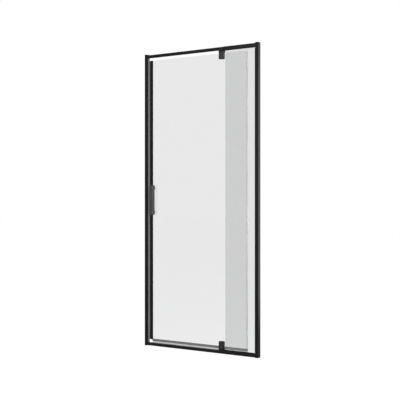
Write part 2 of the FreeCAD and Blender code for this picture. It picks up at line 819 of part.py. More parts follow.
def pivot_pin(end):
    """A steel pin on a flat block that sits in the glass's notch, held between the two shells."""
    body = new_body("pivot_pin_" + end)
    upward, root = end == "bottom", into(end, "clamp_start")
    half = "(%s - %s)" % (CLAMP_FACE, SNUG)
    base = new_sketch(body, "XY_Plane", across="pivot_across", out=root)
    rectangle(base, "(-pin_block_width / 2)", "(pin_block_width / 2)", "(-%s)" % half, half)
    pad(body, base, "pin_block_height", reverse=not upward)
    spigot = new_sketch(body, "XY_Plane", across="pivot_across", out=root)
    circle(spigot, "0", "0", "pin_radius")
    pad(body, spigot, "clamp_start - bracket_rise + bush_depth - pin_end_gap", reverse=upward)
    return keep(body)


gaskets = []
for end in ENDS:
    for name, out in (("front", True), ("back", False)):
        clamp_half(end, name, out)
        gaskets.append(clamp_gasket(end, name, out))
    pivot_pin(end)
keep(group("clamp_gaskets", gaskets))
keep(group("clamp_screws", [clamp_screw(end) for end in ENDS]))

# ---------------------------------------------------------------- closing edge

STILE_LOW = "(%s + stile_lift)" % LEAF_BOTTOM
PROFILE_LOW = "(%s + stile_cap)" % STILE_LOW
PROFILE_HEIGHT = "(%s - %s - 2 * stile_cap)" % (LEAF_TOP, STILE_LOW)
SEAL_FAR = "(%s - seal_width)" % LEAF_CLOSING
SEAL_SHOULDER = "(%s + seal_head)" % SEAL_FAR
SLOT_FLOOR = "(%s + slot_depth)" % LEAF_CLOSING
GLASS_POCKET = "(%s + glass_seat)" % LEAF_CLOSING
SLOT_HALF = "(slot_width / 2)"


def both_sides(half):
    """The two places at this distance before and behind the turning plane."""
    return "(-%s)" % half, half


def closing_stile():
    """The extrusion on the leaf's closing edge: a T slot for the seal and a pocket for the glass."""
    body = new_body("closing_stile")
    half = "(stile_depth / 2)"
    sketch = new_sketch(body, "XY_Plane", out=PROFILE_LOW)
    rectangle(sketch, LEAF_CLOSING, STILE_INNER, *both_sides(half))
    pad(body, sketch, PROFILE_HEIGHT)
    corners = [(x, y) for x in (LEAF_CLOSING, STILE_INNER) for y in both_sides(half)]
    round_corners(body, "z", corners, "stile_round")
    shapes = new_sketch(body, "XY_Plane", out=PROFILE_LOW)
    lip, mouth = "(%s + stile_wall)" % LEAF_CLOSING, "(slot_mouth / 2)"
    upper = [(SLOT_FLOOR, SLOT_HALF), (lip, SLOT_HALF), (lip, mouth), (LEAF_CLOSING, mouth)]
    outline(shapes, upper + [(x, "(-%s)" % y) for x, y in reversed(upper)])
    rectangle(shapes, GLASS_POCKET, STILE_INNER, *both_sides(SLOT_HALF))
    near, far = "(%s + port_skin)" % SLOT_HALF, "(%s - port_skin)" % half
    for low, high in ((near, far), ("(-%s)" % far, "(-%s)" % near)):
        rectangle(shapes, "(%s + port_inset)" % LEAF_CLOSING, "(%s - port_inset)" % STILE_INNER, low, high)
    pocket(body, shapes, PROFILE_HEIGHT, reverse=True)
    return keep(body)


def stile_cap(end):
    """A black plate that closes the stile, slotted for the glass."""
    body = new_body("stile_cap_" + end)
    half, wide = "(stile_depth / 2)", "(glass / 2 + plug_slack)"
    level = STILE_LOW if end == "bottom" else "(%s - stile_cap)" % LEAF_TOP
    left, right = "(%s + plug_slack)" % LEAF_CLOSING, STILE_INNER
    sketch = new_sketch(body, "XY_Plane", out=level)
    slot = "(%s + stile_lap - plug_slack)" % LEAF_CLOSING
    upper = [(slot, wide), (right, wide), (right, half), (left, half)]
    outline(sketch, upper + [(x, "(-%s)" % y) for x, y in reversed(upper)])
    pad(body, sketch, "stile_cap")
    corners = [(x, y) for x in (left, right) for y in both_sides(half)]
    soften(body, straight_edges(body.Shape, "z", corners), "stile_cap_bevel", "Chamfer")
    return body


def stile_strip(name, low, high):
    """A glazing wedge between the leaf's glass and the stile."""
    return block("stile_strip_" + name, (GLASS_POCKET, STILE_INNER), (low, high),
                 (PROFILE_LOW, "(%s + %s)" % (PROFILE_LOW, PROFILE_HEIGHT)))


def closing_seal():
    """A hollow seal with a foot in the stile's slot and a chamber for its magnet."""
    body = new_body("closing_seal")
    half, neck, stem, foot = "(seal_depth / 2)", "(seal_neck / 2)", "(seal_stem / 2)", "(seal_foot / 2)"
    lip = "(%s + stile_wall + strike_play)" % LEAF_CLOSING
    floor = "(%s - plug_slack)" % SLOT_FLOOR
    sketch = new_sketch(body, "XY_Plane", out=PROFILE_LOW)
    upper = [(SEAL_FAR, half), (SEAL_SHOULDER, half), (SEAL_SHOULDER, neck), (LEAF_CLOSING, neck),
             (LEAF_CLOSING, stem), (lip, stem), (lip, foot), (floor, foot)]
    outline(sketch, upper + [(x, "(-%s)" % y) for x, y in reversed(upper)])
    rectangle(sketch, "(%s + seal_skin)" % SEAL_FAR, "(%s - seal_skin)" % SEAL_SHOULDER,
              *both_sides("(%s - seal_skin)" % half))
    rectangle(sketch, SEAL_SHOULDER, "(%s - seal_skin)" % LEAF_CLOSING,
              *both_sides("(%s - seal_skin)" % neck))
    pad(body, sketch, PROFILE_HEIGHT)
    edges = straight_edges(body.Shape, "z", [(SEAL_FAR, y) for y in both_sides(half)])
    soften(body, edges, "seal_bevel", "Chamfer")
    return keep(body)


def door_magnet():
    """The magnetic bar in the seal's outer chamber."""
    room = "(seal_skin + plug_slack)"
    return keep(block("door_magnet", ("(%s + %s)" % (SEAL_FAR, room), "(%s - %s)" % (SEAL_SHOULDER, room)),
                      both_sides("(seal_depth / 2 - %s)" % room),
                      ("(%s + magnet_inset)" % STILE_LOW, "(%s - magnet_inset)" % LEAF_TOP)))


def strike():
    """The holder in the left post's groove, and its magnet."""
    near = outward("left", REVEAL)
    floor = "(%s - strike_depth + strike_play)" % near
    half, room = "(strike_width / 2 - strike_play)", "(strike_skin + strike_play)"
    hollow = "(%s - 2 * strike_skin)" % half
    body = new_body("strike_holder")
    sketch = new_sketch(body, "XY_Plane", out=into("bottom", "strike_inset"))
    rectangle(sketch, floor, near, *both_sides(half))
    rectangle(sketch, "(%s + strike_skin)" % floor, "(%s - strike_skin)" % near, *both_sides(hollow))
    pad(body, sketch, "%s - %s - 2 * strike_inset" % (TOP_INNER, BOTTOM_INNER))
    lips = straight_edges(body.Shape, "z", [(near, y) for y in both_sides(half)])
    soften(body, lips, "strike_inset", "Chamfer")
    keep(body)
    keep(block("strike_magnet", ("(%s + %s)" % (floor, room), "(%s - %s)" % (near, room)),
               both_sides("(%s - strike_play)" % hollow),
               (into("bottom", "magnet_inset"), into("top", "magnet_inset"))))


closing_stile()
keep(group("stile_caps", [stile_cap(end) for end in ENDS]))
keep(group("stile_strips", [
    stile_strip("front", "(-%s)" % SLOT_HALF, "(-glass / 2)"),
    stile_strip("back", "(glass / 2)", SLOT_HALF)]))
closing_seal()
door_magnet()
strike()

# ---------------------------------------------------------------- handle


def handle():
    """A bar with a finger recess milled in the side that faces the stile."""
    body = new_body("handle")
    left, right = STILE_INNER, "(%s + handle_width)" % STILE_INNER
    back, front = "(-glass / 2 - handle_pad)", "(-glass / 2 - handle_reach)"
    low = "(%s - handle_length / 2)" % MID_HEIGHT
    sketch = new_sketch(body, "XY_Plane", out=low)
    rectangle(sketch, left, right, front, back)
    pad(body, sketch, "handle_length")
    round_corners(body, "z", [(left, front), (right, front)], "handle_round")
    for level in (low, "(%s + handle_length / 2)" % MID_HEIGHT):
        soften(body, rim_edges(body.Shape, "z", level), "handle_bevel", "Chamfer")
    recess = new_sketch(body, "YZ_Plane", out=left)
    rectangle(recess, "(%s + handle_wall)" % front, "(%s - handle_wall)" % back,
              "(%s + handle_end)" % low, "(%s + handle_length - handle_end)" % low)
    pocket(body, recess, "handle_width - handle_wall", reverse=True)
    bottom = straight_edges(body.Shape, "z", [("(%s - handle_wall)" % right, "(%s + handle_wall)" % front)])
    soften(body, bottom, "recess_bevel", "Chamfer")
    bores = new_sketch(body, "XZ_Plane", out="(glass / 2 + handle_pad)")
    for sign in ("-", "+"):
        level = "(%s %s handle_pitch / 2)" % (MID_HEIGHT, sign)
        circle(bores, HANDLE_MIDDLE, level, "handle_screw_radius + %s" % SNUG)
    pocket(body, bores, "handle_wall - notch_play", reverse=True)
    return keep(body)


def handle_fixing(sign):
    """The screw from the wet side, its sleeve in the glass, and the rosette that traps its head."""
    level = "(%s %s handle_pitch / 2)" % (MID_HEIGHT, sign)
    name = "low" if sign == "-" else "high"
    at = lambda depth: (HANDLE_MIDDLE, depth, level)
    face = "(glass / 2)"
    tip, seat = "(handle_screw_short - glass / 2 - handle_wall)", "(glass / 2 + handle_pad)"

    def plate(part, half, depth):
        return block("handle_%s_%s" % (part, name),
                     ("(%s - %s)" % (HANDLE_MIDDLE, half), "(%s + %s)" % (HANDLE_MIDDLE, half)), depth,
                     ("(%s - %s)" % (level, half), "(%s + %s)" % (level, half)))

    shank = rod("handle_shank_" + name, "handle_screw_radius", "(%s - %s)" % (seat, tip), at(tip), "y")
    head = hexagon("handle_head_" + name, "handle_head", "handle_head_height", at(seat), "y")
    screw = joined("handle_screw_" + name, [shank, head])
    tube = rod("handle_tube_" + name, "glass_hole_radius - plug_slack", "glass", at("(-%s)" % face), "y")
    pads = [plate(part, "handle_pad_side / 2", depth) for part, depth in (
        ("pad_dry", ("(-%s)" % seat, "(-%s)" % face)), ("pad_wet", (face, seat)))]
    bore = rod("handle_bore_" + name, "handle_screw_radius + plug_slack", "2 * %s" % seat,
               at("(-%s)" % seat), "y")
    sleeve = without("handle_sleeve_" + name, joined("handle_sleeve_blank_" + name, [tube] + pads), bore)
    disc = rod("handle_disc_" + name, "rosette_radius", "rosette_depth", at(face), "y")
    room = plate("room", "(handle_pad_side / 2 + %s)" % SNUG,
                 (face, "(glass / 2 + rosette_depth - rosette_roof)"))
    return screw, sleeve, without("handle_cover_" + name, disc, room)


handle()
fixings = [handle_fixing(sign) for sign in ("-", "+")]
for label, members in zip(("handle_screws", "handle_sleeves", "handle_covers"), zip(*fixings)):
    keep(group(label, list(members)))

# ---------------------------------------------------------------- lower and trailing seals

DRIP_TOP = "(%s + drip_grip)" % LEAF_BOTTOM
DRIP_LOW = "(%s - drip_drop)" % LEAF_BOTTOM
FIN_LOW = "(%s - fin_drop)" % DRIP_LOW
RUNS = {
    "closing": (STILE_INNER, "(pivot_across - drip_clear)"),
    "trailing": ("(pivot_across + drip_clear)", "leaf_tail"),
}


def drip_body(name, start, end):
    """The stiff part: legs that grip the glass over a hollow chamber."""
    body = new_body("drip_body_" + name)
    sketch = new_sketch(body, "YZ_Plane", out=start)
    half, inner = "(drip_depth / 2)", "(glass / 2)"
    behind = [("(drip_sole / 2)", DRIP_LOW), (half, "(%s + drip_bevel)" % DRIP_LOW), (half, DRIP_TOP),
              (inner, DRIP_TOP), (inner, LEAF_BOTTOM)]
    outline(sketch, behind + [("(-%s)" % y, z) for y, z in reversed(behind)])
    rectangle(sketch, "(drip_skin - %s)" % half, "(%s - drip_skin)" % half,
              "(%s + drip_bevel + drip_skin / 2)" % DRIP_LOW, "(%s - drip_skin)" % LEAF_BOTTOM)
    pad(body, sketch, "%s - %s" % (end, start))
    return body


def drip_fin(name, start, end):
    """The soft fin that wipes above the threshold, curved towards the wet side."""
    body = new_body("drip_fin_" + name)
    sketch = new_sketch(body, "YZ_Plane", out=start)
    knee = "(%s - fin_drop / 2)" % DRIP_LOW
    outline(sketch, [
        ("(-fin_root / 2)", DRIP_LOW), ("(fin_lean / 4 - fin_root / 2)", knee),
        ("(fin_lean - fin_edge / 2)", FIN_LOW), ("(fin_lean + fin_edge / 2)", FIN_LOW),
        ("(fin_lean / 4 + fin_edge / 2)", knee), ("(fin_root / 2)", DRIP_LOW),
    ])
    pad(body, sketch, "%s - %s" % (end, start))
    return body


def tail_seal():
    """A clear clip on the trailing edge with a lip towards the fixed pane."""
    body = new_body("tail_seal")
    low, high = "(%s + tail_end_gap)" % DRIP_TOP, "(%s - tail_end_gap)" % LEAF_TOP
    sketch = new_sketch(body, "XY_Plane", out=low)
    face, outer = "(glass / 2)", "(glass / 2 + tail_skin)"
    grip, end = "(leaf_tail - tail_grip)", "(leaf_tail + tail_skin)"
    lip, wiper = "(leaf_tail + tail_lap)", "(tail_gap - %s)" % FIXED_BACK
    outline(sketch, [
        (grip, "(-%s)" % outer), ("(leaf_tail - tail_skin)", "(-%s)" % outer),
        ("(%s - tail_skin)" % lip, wiper), (lip, wiper), (end, "(-%s)" % face),
        (end, outer), (grip, outer), (grip, face),
        ("leaf_tail", face), ("leaf_tail", "(-%s)" % face), (grip, "(-%s)" % face),
    ])
    pad(body, sketch, "%s - %s" % (high, low))
    return keep(body)


keep(group("drip_seal", [drip_body(name, *run) for name, run in RUNS.items()]))
keep(group("drip_fins", [drip_fin(name, *run) for name, run in RUNS.items()]))
tail_seal()

# ---------------------------------------------------------------- screws of the frame

keep(group("corner_screws", [corner_screw(end, side) for end in ENDS for side in SIDES]))
keep(group("bracket_screws", [bracket_screw(end) for end in ENDS]))


def post_cover(name, across, level):
    """A small clip-on box over a screw's head."""
    boxes = []
    room_depth = "(cover_depth - cover_wall)"
    for part, rim, depth in (("case", "0", "cover_depth"), ("room", "cover_wall", room_depth)):
        wide, tall = "(cover_width / 2 - %s)" % rim, "(cover_height / 2 - %s)" % rim
        boxes.append(block("post_cover_%s_%s" % (part, name),
                           ("(%s - %s)" % (across, wide), "(%s + %s)" % (across, wide)),
                           ("frame_back", "(frame_back + %s)" % depth),
                           ("(%s - %s)" % (level, tall), "(%s + %s)" % (level, tall))))
    return without("post_cover_" + name, *boxes)


def post_fixing(side, level):
    """A screw through the channel's rear flange into the post, under its cover."""
    across = outward(side, POST_SCREW_ACROSS)
    name = "%s_%d" % (side, number(level))
    shank = rod("post_shank_" + name, "tapping_radius", "post_screw_length",
                (across, "(frame_back - post_screw_length)", level), "y")
    head = hexagon("post_head_" + name, "tapping_head", "post_head_height",
                   (across, "frame_back", level), "y")
    return joined("post_screw_" + name, [shank, head]), post_cover(name, across, level)


fixings = [post_fixing(side, level) for side in SIDES for level in POST_SCREW_LEVELS]
for label, members in zip(("post_screws", "post_screw_covers"), zip(*fixings)):
    keep(group(label, list(members)))

# ---------------------------------------------------------------- check and write

doc.recompute()
os.makedirs("parts", exist_ok=True)
for item in doc.Objects:
    if any(state in ("Invalid", "Error") for state in item.State):
        raise RuntimeError("%s did not build: %s" % (item.Name, item.State))
solids = 0
for piece in sub_parts:
    shape = piece.Shape
    if shape.isNull() or not shape.isValid() or not shape.Solids:
        raise RuntimeError("%s has no valid solid" % piece.Label)
    solids += len(shape.Solids)
    shape.exportStep("parts/%s.step" % piece.Label)
print("%d sub-parts, %d solids" % (len(sub_parts), solids))
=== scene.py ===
# %% [markdown]
# # A pivot shower door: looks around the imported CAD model
# The CAD model already holds every solid piece of the door, so this script only dresses it.
# It gives each piece a procedural finish, adds the small details that are easier to draw
# than to machine, and sets up the light, the floor and the camera of the reference picture.
# Lengths are metres. X runs along the wall-to-wall width, +Y points into the shower, Z is up.

# %% Load the frame
import math

import bmesh
import bpy
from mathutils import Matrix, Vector


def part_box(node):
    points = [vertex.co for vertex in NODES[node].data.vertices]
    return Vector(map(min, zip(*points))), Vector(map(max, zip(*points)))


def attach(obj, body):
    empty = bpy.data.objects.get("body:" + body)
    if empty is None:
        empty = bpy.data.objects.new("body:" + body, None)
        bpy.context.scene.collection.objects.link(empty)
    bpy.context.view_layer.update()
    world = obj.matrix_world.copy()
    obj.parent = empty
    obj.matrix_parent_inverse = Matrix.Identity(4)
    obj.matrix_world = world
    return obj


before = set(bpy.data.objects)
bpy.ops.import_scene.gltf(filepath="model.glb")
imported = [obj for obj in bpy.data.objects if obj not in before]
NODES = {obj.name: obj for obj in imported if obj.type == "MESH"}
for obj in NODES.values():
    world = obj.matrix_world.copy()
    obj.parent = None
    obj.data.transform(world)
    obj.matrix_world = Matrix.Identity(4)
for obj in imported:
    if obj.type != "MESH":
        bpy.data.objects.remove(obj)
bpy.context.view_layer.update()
MM = 0.001
print("loaded", len(NODES), "nodes")

# %% [markdown]
# ## Materials
# A shower door is made of very few materials: coated aluminium, glass, soft seals, and a little
# steel and nylon. Photographs could be wrapped around the pieces, but they need unwrapped meshes
# and show their grain close up. Node trees that compute the finish from the piece's own
# coordinates need neither, so every finish here is made that way. The first helper starts such
# a tree, and the ones after it each add one thing.

# %% Start a material


def new_material(name):
    """A material with its node tree and its Principled node, ready to be wired up."""
    material = bpy.data.materials.new(name)
    material.use_nodes = True
    tree = material.node_tree
    print("material:", name)
    return material, tree, tree.nodes["Principled BSDF"]


def grey(level):
    """A colour with the same level of red, green and blue."""
    return (level, level, level)


# %% [markdown]
# **Small differences.** No real surface has one flat colour. The differences could be painted, but
# a noise texture gives them at any distance, and drawn out along one axis it looks like
# extruded metal. Noise hardly leaves its middle, so that middle is spread over the whole range
# before it drives a colour or a roughness.

# %% Noise, its range and its colours

NOISE_ROUGHNESS = 0.55
NOISE_LOW = 0.3
NOISE_HIGH = 0.7
EVEN = (1, 1, 1)


def noise(tree, scale, stretch=EVEN, detail=3.0):
    """Noise in the object's own metres; stretch below 1 draws it out along that axis."""
    place = tree.nodes.new("ShaderNodeTexCoord")
    mapping = tree.nodes.new("ShaderNodeMapping")
    mapping.inputs["Scale"].default_value = stretch
    texture = tree.nodes.new("ShaderNodeTexNoise")
    texture.inputs["Scale"].default_value = scale
    texture.inputs["Detail"].default_value = detail
    texture.inputs["Roughness"].default_value = NOISE_ROUGHNESS
    tree.links.new(place.outputs["Object"], mapping.inputs["Vector"])
    tree.links.new(mapping.outputs["Vector"], texture.inputs["Vector"])
    return texture.outputs["Fac"]


def spread(tree, value, low, high):
    """Spreads the middle of a noise over a range of values."""
    ranged = tree.nodes.new("ShaderNodeMapRange")
    ranged.inputs["From Min"].default_value = NOISE_LOW
    ranged.inputs["From Max"].default_value = NOISE_HIGH
    ranged.inputs["To Min"].default_value = low
    ranged.inputs["To Max"].default_value = high
    tree.links.new(value, ranged.inputs["Value"])
    return ranged.outputs["Result"]


def tint(tree, value, dark, light):
    """Mixes two colours by a noise, from dark where it is low to light where it is high."""
    mix = tree.nodes.new("ShaderNodeMix")
    mix.data_type = "RGBA"
    tree.links.new(spread(tree, value, 0, 1), mix.inputs["Factor"])
    mix.inputs["A"].default_value = (*dark, 1)
    mix.inputs["B"].default_value = (*light, 1)
    return mix.outputs["Result"]


print("noise from", NOISE_LOW, "to", NOISE_HIGH, "is spread over each range")

# %% [markdown]
# **Relief and soft edges.** A coat or a moulded skin has a relief of one or two hundredths of a
# millimetre, and no edge of it is truly sharp. Real faces for that would be countless. A bump node
# tilts the shading instead, and a bevel node turns it smoothly over the edges of the CAD mesh,
# without a change to the mesh.

# %% Relief with softened edges

BEVEL_SAMPLES = 4


def relief(tree, shader, value, depth, strength, edge):
    """A relief of the given depth, with the shading rounded over edges of the given radius."""
    bevel = tree.nodes.new("ShaderNodeBevel")
    bevel.samples = BEVEL_SAMPLES
    bevel.inputs["Radius"].default_value = edge
    bump = tree.nodes.new("ShaderNodeBump")
    bump.inputs["Strength"].default_value = strength
    bump.inputs["Distance"].default_value = depth
    tree.links.new(value, bump.inputs["Height"])
    tree.links.new(bevel.outputs["Normal"], bump.inputs["Normal"])
    tree.links.new(bump.outputs["Normal"], shader.inputs["Normal"])


print("edges are rounded with", BEVEL_SAMPLES, "samples")

# %% [markdown]
# **Powder coat.** The profiles are extruded aluminium with a baked black powder on it. Faint die
# lines run along their length under the coat; the castings only have the coat's orange peel.
# A ready-made metal shader would be too bright and too even, so one noise, drawn out along the
# profile, makes the lines, and a finer even one the peel. The coat is satin: dark, with a low
# specular level and a middling roughness.

# %% A recipe for powder coat

LINE_SCALE = 900
PEEL_SCALE = 1400
PEEL_DEPTH = 0.00002
PEEL_STRENGTH = 0.4
COAT_EDGE = 0.6 * MM
DARKER = 0.9
LIGHTER = 1.1
SHEEN_RANGE = 0.05


def powder_coat(name, tone, stretch, rough, specular):
    """Satin black coat of a tone, with its die lines drawn out where stretch is small."""
    material, tree, shader = new_material(name)
    lines = noise(tree, LINE_SCALE, stretch, detail=2)
    peel = noise(tree, PEEL_SCALE)
    shader.inputs["Specular IOR Level"].default_value = specular
    coat = tint(tree, lines, grey(tone * DARKER), grey(tone * LIGHTER))
    tree.links.new(coat, shader.inputs["Base Color"])
    sheen = spread(tree, peel, rough - SHEEN_RANGE, rough + SHEEN_RANGE)
    tree.links.new(sheen, shader.inputs["Roughness"])
    relief(tree, shader, peel, PEEL_DEPTH, PEEL_STRENGTH, COAT_EDGE)
    return material


print("die lines at", LINE_SCALE, "and orange peel at", PEEL_SCALE, "to the metre")

# %% [markdown]
# ** Five coats.** The real door most likely has one coat on all its metal, and one material could
# serve it all. But the die lines have to follow each profile, and one tone doesn't match the
# picture on every piece. So each group has its own tone and sheen, set until its grey level came
# near the one in the picture. The different tones are painted shading, lit and shaded copies of one
# black coat: darkest on the uprights and the clamps, lightest on the bar.

# %% Coats for the metal pieces, toned with painted shading

DRAWN_ALONG_Z = (1, 1, 0.004)
DRAWN_ALONG_X = (0.004, 1, 1)

# Each tone below is painted shading on one black coat: darker or lighter per group, and a painted
# highlight on the bar.
coat_upright_painted_shading = powder_coat("powder coat along Z, painted shading", 0.006, DRAWN_ALONG_Z, rough=0.34, specular=0.07)
coat_level_painted_shading = powder_coat("powder coat along X, painted shading", 0.008, DRAWN_ALONG_X, rough=0.34, specular=0.07)
coat_bar_painted_shading = powder_coat("powder coat on the bar, painted shading", 0.045, DRAWN_ALONG_Z, rough=0.36, specular=0.1)
coat_clamp_painted_shading = powder_coat("powder coat on the clamps, painted shading", 0.006, EVEN, rough=0.4, specular=0.24)
coat_bracket_painted_shading = powder_coat("powder coat on the brackets, painted shading", 0.012, EVEN, rough=0.4, specular=0.07)

# %% [markdown]
# **Plastics, rubbers and the small metal parts.** The caps are moulded, the seals are extruded
# from soft plastic, and pins and screws are bare steel. Each could have a tree of its own, but
# they differ only in tone, gloss and the size of their grain. So one recipe serves them all: a
# noise that varies the tone and the roughness a little, and gives a slight relief.

# %% A recipe for plain finishes

GRAIN_DEPTH = 0.00001
GRAIN_STRENGTH = 0.5
GRAIN_RANGE = 0.06
PLAIN_EDGE = 0.3 * MM


def plain(name, dark, light, rough, scale, specular, metallic=0.0, stretch=EVEN):
    """An opaque finish between two tones, with a grain of the given scale to the metre."""
    material, tree, shader = new_material(name)
    grain = noise(tree, scale, stretch)
    shader.inputs["Specular IOR Level"].default_value = specular
    shader.inputs["Metallic"].default_value = metallic
    tree.links.new(tint(tree, grain, dark, light), shader.inputs["Base Color"])
    gloss = spread(tree, grain, rough - GRAIN_RANGE, rough + GRAIN_RANGE)
    tree.links.new(gloss, shader.inputs["Roughness"])
    relief(tree, shader, grain, GRAIN_DEPTH, GRAIN_STRENGTH, PLAIN_EDGE)
    return material


print("the grain is", GRAIN_DEPTH / MM, "mm deep")

# %% [markdown]
# **Soft and moulded pieces.** The grey seals are drawn through a die like the profiles, so their
# grain follows their length: along Z on the closing edge, along X under the leaf. An even grain
# would look like casting there. Rubber is the dullest of them, and moulded caps lie between.

# %% Plastics and rubbers

SEAL_ALONG_Z = (1, 1, 0.02)
SEAL_ALONG_X = (0.02, 1, 1)
SEAL_DARK = grey(0.13)
SEAL_LIGHT = grey(0.17)

moulded = plain("moulded black plastic", grey(0.018), grey(0.026), rough=0.55, scale=1600, specular=0.2)
seal_grey = plain("grey flexible seal along Z", SEAL_DARK, SEAL_LIGHT, rough=0.45, scale=700,
                  specular=0.25, stretch=SEAL_ALONG_Z)
seal_level = plain("grey flexible seal along X", SEAL_DARK, SEAL_LIGHT, rough=0.45, scale=700,
                   specular=0.25, stretch=SEAL_ALONG_X)
rubber = plain("black rubber", grey(0.012), grey(0.02), rough=0.75, scale=900, specular=0.15)
magnet = plain("magnetic rubber", (0.045, 0.04, 0.035), (0.06, 0.055, 0.05), rough=0.7, scale=1200,
               specular=0.2)

# %% [markdown]
# **Steel and nylon.** Pins and screws are stainless steel, and the bushes and sleeves that they
# touch are undyed nylon. Both are almost hidden, so the plain recipe is enough for them. The
# steel is fully metallic, and the nylon is left slightly yellow.

# %% Steel and nylon

steel = plain("stainless steel", grey(0.5), grey(0.6), rough=0.28, scale=1500, specular=0.5,
              metallic=1.0)
nylon = plain("natural nylon", (0.7, 0.7, 0.66), (0.78, 0.78, 0.75), rough=0.5, scale=700,
              specular=0.3)

# %% [markdown]
# ** Glass.** Both panes are real 6 mm solids, so they refract by themselves. A thin transparent
# sheet would be quicker to render, but it has no edges. The base colour sets how much light each
# face lets through, and the two panes have their own tones, to match the picture where it shows
# one pane and where it shows both. Both are most likely the same clear glass, so the fixed pane's
# lower tone is painted shade. A refracting solid throws a full shadow, which real clear
# glass doesn't. So for shadow rays alone the panes are plain tinted transparency, and what
# stands behind them keeps its light.

# %% Glass

HAZE_SCALE = 30
HAZE_ROUGH = 0.012
GLASS_IOR = 1.5
GREEN_DARK = (-0.004, 0, -0.002)
GREEN_LIGHT = (0.002, 0.006, 0.004)


def mixed(tree, factor, first, second):
    """Sends a mix of two shaders to the output: the first at factor 0, the second at factor 1."""
    mix = tree.nodes.new("ShaderNodeMixShader")
    tree.links.new(factor, mix.inputs["Fac"])
    tree.links.new(first, mix.inputs[1])
    tree.links.new(second, mix.inputs[2])
    tree.links.new(mix.outputs["Shader"], tree.nodes["Material Output"].inputs["Surface"])


def clear_glass(name, tone):
    """Clear glass of a tone with a faint green, which casts only a tinted shadow."""
    material, tree, shader = new_material(name)
    haze = noise(tree, HAZE_SCALE, detail=2)
    dark = [tone + part for part in GREEN_DARK]
    light = [tone + part for part in GREEN_LIGHT]
    shader.inputs["Transmission Weight"].default_value = 1.0
    shader.inputs["IOR"].default_value = GLASS_IOR
    tree.links.new(tint(tree, haze, dark, light), shader.inputs["Base Color"])
    tree.links.new(spread(tree, haze, 0.0, HAZE_ROUGH), shader.inputs["Roughness"])
    path = tree.nodes.new("ShaderNodeLightPath")
    through = tree.nodes.new("ShaderNodeBsdfTransparent")
    through.inputs["Color"].default_value = (*grey(tone), 1)
    mixed(tree, path.outputs["Is Shadow Ray"], shader.outputs["BSDF"], through.outputs["BSDF"])
    return material


leaf_glass = clear_glass("clear toughened glass, leaf", 0.8)
# The fixed pane's lower tone is painted shade on the same clear glass.
fixed_glass = clear_glass("clear toughened glass, fixed pane, painted shade", 0.745)

# %% [markdown]
# **Clear seals.** The fins under the leaf and the clip on its trailing edge are soft plastic that
# scatters light as well as passing it. Light that really wanders inside them would take long to
# compute for so small a piece. A rough transmission with a part of plain colour looks the same
# at this size: a large share of transmission for the thin fins, a small one for the milky clip.

# %% Clear seals

CLOUD_SCALE = 400
CLOUD_ALONG_X = (0.02, 1, 1)
CLEAR_SPECULAR = 0.3
CLOUD_RANGE = 0.05


def soft_clear(name, transmission, dark, light, rough, ior):
    """Soft see-through plastic: transmission is the share that isn't plain colour."""
    material, tree, shader = new_material(name)
    cloud = noise(tree, CLOUD_SCALE, CLOUD_ALONG_X, detail=2)
    shader.inputs["Transmission Weight"].default_value = transmission
    shader.inputs["IOR"].default_value = ior
    shader.inputs["Specular IOR Level"].default_value = CLEAR_SPECULAR
    tree.links.new(tint(tree, cloud, grey(dark), grey(light)), shader.inputs["Base Color"])
    blur = spread(tree, cloud, rough - CLOUD_RANGE, rough + CLOUD_RANGE)
    tree.links.new(blur, shader.inputs["Roughness"])
    return material


fin_clear = soft_clear("clear wiping fin", 0.75, dark=0.62, light=0.72, rough=0.35, ior=1.45)
clip_clear = soft_clear("milky clipped seal", 0.2, dark=0.66, light=0.72, rough=0.4, ior=1.4)

# %% [markdown]
# ** Handing the materials out.** Each CAD node gets the material of what it is made of. Each node
# has a slot, but one slot holds profiles that run along Z and along X. A table of
# node names, sorted by finish and direction, keeps the die lines right and is easy to change.

# %% Assign the materials

FINISHES = {
    "wall_channel_left wall_channel_right post_left post_right closing_stile": coat_upright_painted_shading,
    "handle": coat_bar_painted_shading,
    "top_rail bottom_rail glazing_channel_top glazing_channel_bottom": coat_level_painted_shading,
    "pivot_bracket_top pivot_bracket_bottom": coat_bracket_painted_shading,
    "clamp_front_top clamp_back_top clamp_front_bottom clamp_back_bottom": coat_clamp_painted_shading,
    "post_caps_top post_caps_bottom stile_caps handle_covers post_screw_covers corner_blocks": moulded,
    "door_glass": leaf_glass,
    "fixed_glass": fixed_glass,
    "closing_seal strike_holder": seal_grey,
    "drip_seal": seal_level,
    "drip_fins": fin_clear,
    "tail_seal": clip_clear,
    "glazing_strips setting_blocks stile_strips clamp_gaskets": rubber,
    "door_magnet strike_magnet": magnet,
    "pivot_pin_top pivot_pin_bottom clamp_screws bracket_screws handle_screws "
    "corner_screws post_screws": steel,
    "pivot_bush_top pivot_bush_bottom handle_sleeves": nylon,
}
for names, material in FINISHES.items():
    for name in names.split():
        node = NODES[name]
        node.data.materials.clear()
        node.data.materials.append(material)
print("finished", sum(len(names.split()) for names in FINISHES), "nodes")

# %% [markdown]
# ## Small details
# Some things are too fine for the CAD model: the hexagon sockets of the screws, the joint lines
# of the handle's end plugs, the ribs along the closing seal, the rubber lips between glass and
# metal, and the turned rings on the rosettes. They could be reliefs in the material, but a relief
# has no outline when it is seen from the side. So each is a thin mesh that lies on its CAD piece
# and rides with that piece's body, and follows it when the door swings.

# %% Helpers for added pieces


def add_piece(name, body, slot, bm, *materials):
    """Makes an object of the bmesh, gives it its finish and lets it ride with the body."""
    bmesh.ops.recalc_face_normals(bm, faces=bm.faces)
    mesh = bpy.data.meshes.new(name)
    bm.to_mesh(mesh)
    bm.free()
    piece = bpy.data.objects.new(name, mesh)
    bpy.context.collection.objects.link(piece)
    for material in materials:
        mesh.materials.append(material)
    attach(piece, body)
    print(name, [round(side, 4) for side in piece.dimensions])


